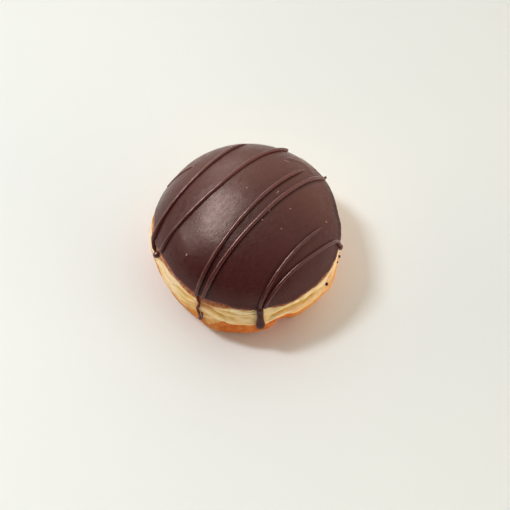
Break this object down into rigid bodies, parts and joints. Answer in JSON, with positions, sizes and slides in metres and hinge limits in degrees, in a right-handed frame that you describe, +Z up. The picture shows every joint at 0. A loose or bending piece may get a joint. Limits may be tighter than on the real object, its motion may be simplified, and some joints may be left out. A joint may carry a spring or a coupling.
{
  "type": "chocolate doughnut",
  "caption": "Round filled-style doughnut without a hole: fried dough with a pale belt, a dipped chocolate coat over the top and a piped chocolate zigzag with drips.",
  "frame": {"origin": "middle of the base, on the surface the doughnut stands on", "axes": "+Z up through the dome, -Y towards the front, where the thick drip hangs, +X to the right seen from the front"},
  "size_m": [0.0902, 0.0927, 0.0622],
  "materials": {
    "dough": "soft fried dough, pale cream belt and orange-brown crust below it",
    "icing": "set dark chocolate, satin sheen"
  },
  "bodies": {
    "root": {"dough": "dough", "icing": "icing"}
  },
  "joints": []
}
